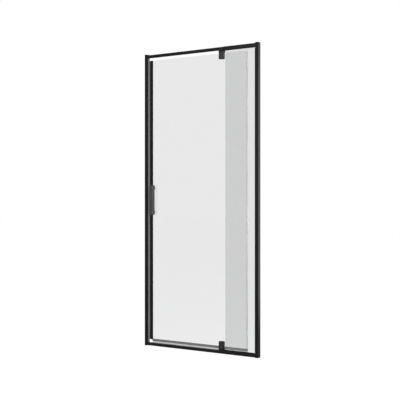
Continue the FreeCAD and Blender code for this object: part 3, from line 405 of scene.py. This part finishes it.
def bridge(bm, low, high, material=0):
    """Quads between two closed rings of the same number of points."""
    for i in range(len(low)):
        face = bm.faces.new((low[i - 1], low[i], high[i], high[i - 1]))
        face.material_index = material
        face.smooth = True


# %% [markdown]
# **Hexagon sockets.** The clamp screws and the bracket screws are driven from the wet side with a
# hexagon key. Cutting the socket with a boolean would change the CAD mesh, which has to stay.
# So each screw gets a turned rim with a hexagon in it, built ring by ring: three round rings rise
# and turn inwards, and the last two follow a hexagon down to its floor.

# %% Rings round an axis

RING_STEPS = 36
SIXTH = math.pi / 3


def ring(bm, centre, radius, height, corner=0.0):
    """A ring round a +Y axis; with corner it is a hexagon of that corner radius."""
    points = []
    for i in range(RING_STEPS):
        angle = 2 * math.pi * i / RING_STEPS
        out = radius
        if corner:
            out = corner * math.cos(SIXTH / 2) / math.cos((angle % SIXTH) - SIXTH / 2)
        points.append(bm.verts.new((centre[0] + out * math.cos(angle), centre[1] + height,
                                    centre[2] + out * math.sin(angle))))
    return points


print("a ring has", RING_STEPS, "points")

# %% [markdown]
# ** The four screws.** Their axes come from the CAD model: all stand on the leaf's pivot line, and
# the heights are those of the two clamps and the two brackets. The socket starts on the
# outermost face of the screws, which is measured. The sunk hexagon is only 0.18 mm deep; its wall
# and floor take the black rubber finish as painted shade, standing in for the shade of a deep socket.

# %% Sockets on the screws

PIVOT_X = 171 * MM
RIM_EDGE = 0.1 * MM
RIM_TOP = 0.2 * MM
RIM_TURN = 0.9
SOCKET_FLOOR = 0.02 * MM
HEXAGON_WALL_PAINTED_SHADE = 3
CLAMP_SCREW_Z = {"bottom": 66 * MM, "top": 1881.5 * MM}
CLAMP_SCREW_RIM = 5 * MM
CLAMP_SCREW_HEXAGON = 2.3 * MM
BRACKET_SCREW_Z = {"bottom": 15.75 * MM, "top": 1931.75 * MM}
BRACKET_SCREW_RIM = 1.9 * MM
BRACKET_SCREW_HEXAGON = 1.15 * MM


def socket(name, node_name, z, radius, corner, body):
    """A turned rim with a sunk hexagon in painted shade, on the wet side of a screw on the pivot line.
    """
    centre = (PIVOT_X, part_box(node_name)[1][1], z)
    bm = bmesh.new()
    rings = [
        ring(bm, centre, radius, 0),
        ring(bm, centre, radius, RIM_EDGE),
        ring(bm, centre, radius * RIM_TURN, RIM_TOP),
        ring(bm, centre, 0, RIM_TOP, corner),
        ring(bm, centre, 0, SOCKET_FLOOR, corner),
    ]
    for level, (low, high) in enumerate(zip(rings, rings[1:])):
        # The hexagon's wall and floor take the black rubber finish: painted shade of a deep socket.
        bridge(bm, low, high, 1 if level == HEXAGON_WALL_PAINTED_SHADE else 0)
    bm.faces.new(rings[-1]).material_index = 1
    add_piece(name, body, "steel", bm, steel, rubber)


for end in ("bottom", "top"):
    socket("clamp_screw_socket_" + end, "clamp_screws", CLAMP_SCREW_Z[end],
           CLAMP_SCREW_RIM, CLAMP_SCREW_HEXAGON, "door")
    socket("bracket_screw_socket_" + end, "bracket_screws", BRACKET_SCREW_Z[end],
           BRACKET_SCREW_RIM, BRACKET_SCREW_HEXAGON, "frame")

# %% [markdown]
# **Joint lines of the handle.** The bar is closed at each end by a pressed-in plug, which shows as
# a fine line. Its path could be drawn by hand, but then it would no longer fit if the bar changed.
# So it is measured: the bar's own mesh is cut with a level plane, and the cut edges are followed
# from point to point until each loop is closed.

# %% Loops of a level cut

MERGE_DISTANCE = 1e-6


def section_loops(node, z):
    """The closed loops of points where a level plane cuts a CAD node, as lists of Vectors."""
    bm = bmesh.new()
    bm.from_mesh(node.data)
    bmesh.ops.remove_doubles(bm, verts=bm.verts, dist=MERGE_DISTANCE)
    cut = bmesh.ops.bisect_plane(bm, geom=bm.verts[:] + bm.edges[:] + bm.faces[:],
                                 plane_co=(0, 0, z), plane_no=(0, 0, 1))["geom_cut"]
    edges = [item for item in cut if isinstance(item, bmesh.types.BMEdge)]
    nexts = {}
    for edge in edges:
        a, b = edge.verts
        nexts.setdefault(a, []).append(b)
        nexts.setdefault(b, []).append(a)
    loops = []
    used = set()
    for edge in edges:
        here = edge.verts[0]
        if here in used:
            continue
        loop = []
        while here is not None:
            used.add(here)
            loop.append(here.co.copy())
            here = next((other for other in nexts[here] if other not in used), None)
        loops.append(loop)
    bm.free()
    return loops


PLUG_LINE = {"bottom": 883 * MM, "top": 1067 * MM}
for end, z in PLUG_LINE.items():
    print("the bar's cut at", round(z, 4), "has", len(section_loops(NODES["handle"], z)), "loops")

# %% [markdown]
# **From loop to band.** The line is a narrow band along the bar's outer loop, a few hundredths of
# a millimetre outside it so that the two surfaces don't fight. Its points move out square to the
# loop. Which side is out follows from the sign of the loop's area.

# %% Lines where the handle's plugs meet the bar

LINE_HEIGHT = 0.5 * MM
LINE_OUT = 0.04 * MM


def plug_line(name, z):
    """A band round the bar, along the longest loop of a level cut."""
    loop = max(section_loops(NODES["handle"], z), key=len)
    count = len(loop)
    area = sum(loop[i - 1].x * loop[i].y - loop[i].x * loop[i - 1].y for i in range(count))
    turn = 1 if area > 0 else -1
    bm = bmesh.new()
    low = []
    high = []
    for i in range(count):
        along = (loop[(i + 1) % count] - loop[i - 1]).normalized()
        side = Vector((along.y, -along.x, 0)) * turn * LINE_OUT
        for rim, level in ((low, z - LINE_HEIGHT / 2), (high, z + LINE_HEIGHT / 2)):
            rim.append(bm.verts.new((loop[i].x + side.x, loop[i].y + side.y, level)))
    bridge(bm, low, high)
    add_piece(name, "door", "black_extrusion", bm, rubber)


for end, z in PLUG_LINE.items():
    plug_line("handle_line_" + end, z)

# %% [markdown]
# **Ribs of the closing seal.** Soft seals like this one often have fine ribs along their front. A
# relief in the material would do from afar, but it has no outline at the ends. So each rib is a
# half-round strip along Z, thinner at both ends. A ray cast onto the CAD seal finds the face that
# it lies on, wherever the seal's round front is.

# %% Ribs along the closing seal

RIB_RADIUS = 0.35 * MM
RIB_END = RIB_RADIUS * 0.4
RIB_STEPS = 8
RIB_START = 2 * MM
RIB_FULL = 3 * MM
STAND_OFF = 0.01
RIB_PLACES = {"closing_seal_rib_1": -421 * MM, "closing_seal_rib_2": -414 * MM}
SEAL_LOW, SEAL_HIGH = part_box("closing_seal")


def seal_rib(name, x):
    """A half-round rib along Z on the seal's front, where a ray from the front meets it."""
    before = Vector((x, SEAL_LOW[1] - STAND_OFF, (SEAL_LOW[2] + SEAL_HIGH[2]) / 2))
    met, place = NODES["closing_seal"].ray_cast(before, Vector((0, 1, 0)))[:2]
    assert met, name
    bm = bmesh.new()
    rims = []
    for z, size in ((SEAL_LOW[2] + RIB_START, RIB_END), (SEAL_LOW[2] + RIB_FULL, RIB_RADIUS),
                    (SEAL_HIGH[2] - RIB_FULL, RIB_RADIUS), (SEAL_HIGH[2] - RIB_START, RIB_END)):
        angles = [math.pi * i / RIB_STEPS for i in range(RIB_STEPS + 1)]
        rims.append([bm.verts.new((x + size * math.cos(angle), place.y - size * math.sin(angle), z))
                     for angle in angles])
    for one, other in zip(rims, rims[1:]):
        for i in range(RIB_STEPS):
            bm.faces.new((one[i], one[i + 1], other[i + 1], other[i])).smooth = True
    add_piece(name, "door", "grey_seal", bm, seal_grey)


for name, x in RIB_PLACES.items():
    seal_rib(name, x)

# %% [markdown]
# ** Soft lips.** Narrow black bars in the rubber finish lie where glass meets metal: beside the stile on
# both faces of the leaf, between the fixed pane and its post, and under the top rail, where the
# leaf passes. They are not CAD pieces, and they make the black at these joins a little wider.
# A curve with a round profile could make them, but a small rounded outline, drawn out
# along Z or X, is exact at both ends and has few faces.

# %% A rounded bar of rubber

CORNER_STEPS = 4


def lip(name, body, axis, reach, low, high, corner):
    """A rounded bar over a reach along Z or X; low and high are the corners of its section."""
    a0, b0 = low
    a1, b1 = high
    outline = []
    for a, b, first in ((a1 - corner, b1 - corner, 0), (a0 + corner, b1 - corner, 90),
                        (a0 + corner, b0 + corner, 180), (a1 - corner, b0 + corner, 270)):
        for step in range(CORNER_STEPS + 1):
            angle = math.radians(first + 90 / CORNER_STEPS * step)
            outline.append((a + corner * math.cos(angle), b + corner * math.sin(angle)))
    bm = bmesh.new()
    ends = []
    for along in reach:
        ends.append([bm.verts.new((a, b, along) if axis == "Z" else (along, a, b)) for a, b in outline])
    bridge(bm, ends[0], ends[1])
    bm.faces.new(ends[0])
    bm.faces.new(ends[1])
    add_piece(name, body, "black_rubber", bm, rubber)


print("a lip's outline has", 4 * (CORNER_STEPS + 1), "points")

# %% [markdown]
# ** Lips beside the stile.** The leaf's glass is wedged into the stile with rubber, and a black bar
# is added along the stile's edge on both faces. The two lips are the same shape, one in front of the
# glass and one behind it, so a loop makes them from the glass's own faces.

# %% Lips of the stile

STILE_LIP_WIDE = 3 * MM
STILE_LIP_THICK = 0.5 * MM
STILE_LIP_CORNER = 0.24 * MM

leaf_low, leaf_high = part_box("door_glass")
leaf_reach = (leaf_low[2] + MM, leaf_high[2] - MM)
stile_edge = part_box("closing_stile")[1][0]
for side, y0, y1 in (("front", leaf_low[1] - STILE_LIP_THICK, leaf_low[1]),
                     ("back", leaf_high[1], leaf_high[1] + STILE_LIP_THICK)):
    lip("stile_lip_" + side, "door", "Z", leaf_reach,
        (stile_edge, y0), (stile_edge + STILE_LIP_WIDE, y1), STILE_LIP_CORNER)

# %% [markdown]
# **The pane's bead and the rail's lip.** The bead fills the corner between the fixed pane's front
# and its post. The post's nose is round, so the box of the node doesn't say where it stands in
# front of the pane, and a ray cast along X measures it. The lip under the top rail ends shortly
# before the post and the pivot bracket.

# %% Bead of the fixed pane and lip of the top rail

BEAD_WIDE = 4 * MM
BEAD_THICK = 3 * MM
BEAD_END_GAP = 12 * MM
RAIL_LIP_HIGH = 3 * MM
RAIL_LIP_FRONT = 2 * MM
RAIL_LIP_BACK = 7 * MM
RAIL_LIP_END_GAP = 0.5 * MM
THICK_LIP_CORNER = 1.2 * MM
RAY_X = 0.4
RAY_Z = 1.0

pane_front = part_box("fixed_glass")[0][1]
before_post = Vector((RAY_X, pane_front - BEAD_THICK / 2, RAY_Z))
post_edge = NODES["post_right"].ray_cast(before_post, Vector((1, 0, 0)))[1].x
print("the post's inner edge stands at", round(post_edge, 4))
rail_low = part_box("top_rail")[0]
bead_reach = (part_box("bottom_rail")[1][2] + BEAD_END_GAP, rail_low[2] - BEAD_END_GAP)
lip("pane_bead", "frame", "Z", bead_reach,
    (post_edge - BEAD_WIDE, pane_front - BEAD_THICK), (post_edge, pane_front), THICK_LIP_CORNER)
post_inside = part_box("post_left")[1][0]
bracket_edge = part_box("pivot_bracket_top")[0][0]
lip("top_rail_lip", "frame", "X", (post_inside + RAIL_LIP_END_GAP, bracket_edge - RAIL_LIP_END_GAP),
    (rail_low[1] + RAIL_LIP_FRONT, rail_low[2] - RAIL_LIP_HIGH),
    (rail_low[1] + RAIL_LIP_BACK, rail_low[2]), THICK_LIP_CORNER)

# %% [markdown]
# **Rings of the rosettes.** Each rosette behind the handle has a fine raised ring, as such covers
# often do. A torus could be that, but half of it would be buried in the rosette. The half that
# shows is made with the same helper as the sockets, as rings that follow a half circle.

# %% Rings on the rosettes

ROSETTE_X = -381.5 * MM
ROSETTE_Z = {"bottom": 895 * MM, "top": 1055 * MM}
RING_RADIUS = 6.5 * MM
WIRE_RADIUS = 0.3 * MM
WIRE_STEPS = 8


def rosette_ring(name, z):
    """A half-round ring on the wet side of a rosette."""
    centre = (ROSETTE_X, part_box("handle_covers")[1][1], z)
    bm = bmesh.new()
    rims = []
    for i in range(WIRE_STEPS + 1):
        angle = math.pi * i / WIRE_STEPS
        rims.append(ring(bm, centre, RING_RADIUS + WIRE_RADIUS * math.cos(angle),
                         WIRE_RADIUS * math.sin(angle)))
    for one, other in zip(rims, rims[1:]):
        bridge(bm, one, other)
    add_piece(name, "door", "black_plastic", bm, moulded)


for end, z in ROSETTE_Z.items():
    rosette_ring("rosette_ring_" + end, z)

# %% [markdown]
# ## Floor, light and camera
# The picture is a plain product shot on white. A white that comes from strong lamps would bleach
# the door too. So the background is told apart by the kind of ray that meets it: camera, glossy
# and transmission rays see white, and all others meet a pale floor and a weak world, which keep
# the light on the door at a plain level.

# %% Which rays see the white background


def seen(tree):
    """1 for camera, glossy and transmission rays, which should meet the white background."""
    path = tree.nodes.new("ShaderNodeLightPath")
    first = tree.nodes.new("ShaderNodeMath")
    first.operation = "MAXIMUM"
    both = tree.nodes.new("ShaderNodeMath")
    both.operation = "MAXIMUM"
    tree.links.new(path.outputs["Is Camera Ray"], first.inputs[0])
    tree.links.new(path.outputs["Is Glossy Ray"], first.inputs[1])
    tree.links.new(first.outputs[0], both.inputs[0])
    tree.links.new(path.outputs["Is Transmission Ray"], both.inputs[1])
    return both.outputs[0]


print("camera, glossy and transmission rays see white")

# %% [markdown]
# **Floor.** The door stands on a pale ground with a faint shadow. A floor that only shone white
# would lose the shadow, and one that only took light would look grey. So its surface is a mix:
# mostly an even white for the rays above, and the rest a matt pale floor that shows the shadow.

# %% Floor

FLOOR_SIZE = 60
FLOOR_SCALE = 3
FLOOR_DARK = grey(0.78)
FLOOR_LIGHT = grey(0.82)
FLOOR_ROUGH = 0.9
WHITE = (1, 1, 1, 1)
WHITE_STRENGTH = 1.08
WHITE_SHARE = 0.9


def pale_floor():
    """A wide floor at the foot of the door, mostly white for the rays that see it."""
    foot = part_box("bottom_rail")[0][2]
    bpy.ops.mesh.primitive_plane_add(size=FLOOR_SIZE, location=(0, 0, foot))
    floor = bpy.context.object
    floor.name = "floor"
    material, tree, shader = new_material("pale floor")
    cloud = noise(tree, FLOOR_SCALE, detail=2)
    tree.links.new(tint(tree, cloud, FLOOR_DARK, FLOOR_LIGHT), shader.inputs["Base Color"])
    shader.inputs["Roughness"].default_value = FLOOR_ROUGH
    shader.inputs["Specular IOR Level"].default_value = 0.0
    white = tree.nodes.new("ShaderNodeEmission")
    white.inputs["Color"].default_value = WHITE
    white.inputs["Strength"].default_value = WHITE_STRENGTH
    share = tree.nodes.new("ShaderNodeMath")
    share.operation = "MULTIPLY"
    share.inputs[1].default_value = WHITE_SHARE
    tree.links.new(seen(tree), share.inputs[0])
    mixed(tree, share.outputs[0], shader.outputs["BSDF"], white.outputs["Emission"])
    floor.data.materials.append(material)
    print("the floor lies at", round(foot, 4), "and is", FLOOR_SIZE, "m wide")


pale_floor()

# %% [markdown]
# **World.** Beyond the floor the picture is white as well. An image of a studio could stand there,
# but it would bring its own lamps and colours. A plain white background is enough: at strength 1
# where it is seen, and weaker for the light that it gives.

# %% World

WORLD_LIGHT = 0.3


def white_world(light):
    """White where it is seen, and of the given strength for the light that it gives."""
    world = bpy.data.worlds.new("white studio")
    bpy.context.scene.world = world
    world.use_nodes = True
    tree = world.node_tree
    back = tree.nodes["Background"]
    strength = tree.nodes.new("ShaderNodeMapRange")
    strength.inputs["To Min"].default_value = light
    strength.inputs["To Max"].default_value = 1.0
    tree.links.new(seen(tree), strength.inputs["Value"])
    tree.links.new(strength.outputs["Result"], back.inputs["Strength"])
    back.inputs["Color"].default_value = WHITE
    print("the world lights the door at strength", light)


white_world(WORLD_LIGHT)

# %% [markdown]
# **Lamps.** A black door on white is drawn by the grey sheens on its faces. Small lamps would
# leave hard spots, so three large soft boxes make them. The key stands in front on the left, and
# the side lamp on the right lights the narrow faces that look that way. Neither stands where the
# panes would mirror it towards the camera. The rim lamp stands behind, where the clamps'
# right-hand faces mirror it. No lamp is seen through the glass, but from behind the panes still
# mirror the rim lamp.

# %% Lamps


def softbox(name, place, target, size, power):
    """A rectangular lamp of a width and height in metres and a power in watts."""
    light = bpy.data.lights.new(name, "AREA")
    light.shape = "RECTANGLE"
    light.size, light.size_y = size
    light.energy = power
    lamp = bpy.data.objects.new(name, light)
    lamp.visible_transmission = False
    lamp.location = place
    lamp.rotation_euler = (Vector(target) - Vector(place)).to_track_quat("-Z", "Y").to_euler()
    bpy.context.collection.objects.link(lamp)
    print(name, "lamp:", size[0], "by", size[1], "m,", power, "W")


DOOR_MIDDLE = (0, 0, 0.95)
CLAMP_SIDE = (0.25, 0, 1.15)
softbox("key", (-1.6, -5.4, 2.0), DOOR_MIDDLE, size=(1.4, 2.8), power=130)
softbox("side", (5.0, -3.6, 1.6), DOOR_MIDDLE, size=(0.6, 3.0), power=165)
softbox("rim", (1.356, 1.548, 1.15), CLAMP_SIDE, size=(0.45, 2.25), power=28)

# %% [markdown]
# **Camera.** A camera could be moved by eye until the render looks right. Here the picture's
# vanishing lines were used instead, which say more exactly where it stood: level with the middle
# of the door, well to its right, looking along a line that is turned 35.8 degrees from the
# door's own normal, with a long lens.

# %% Camera

CAMERA_PLACE = (3.552, -4.926, 0.975)
CAMERA_TURN = 35.8
LENS_MM = 84.7
SENSOR_MM = 36


def photo_camera():
    """The camera of the reference picture, without depth of field."""
    data = bpy.data.cameras.new("photo camera")
    data.lens = LENS_MM
    data.sensor_width = SENSOR_MM
    data.dof.use_dof = False
    camera = bpy.data.objects.new("photo camera", data)
    camera.location = CAMERA_PLACE
    camera.rotation_euler = (math.radians(90), 0, math.radians(CAMERA_TURN))
    bpy.context.collection.objects.link(camera)
    bpy.context.scene.camera = camera
    print("the camera stands", round(Vector(CAMERA_PLACE).length, 2), "m from the door's foot")


photo_camera()
bpy.context.scene.view_settings.view_transform = "Standard"
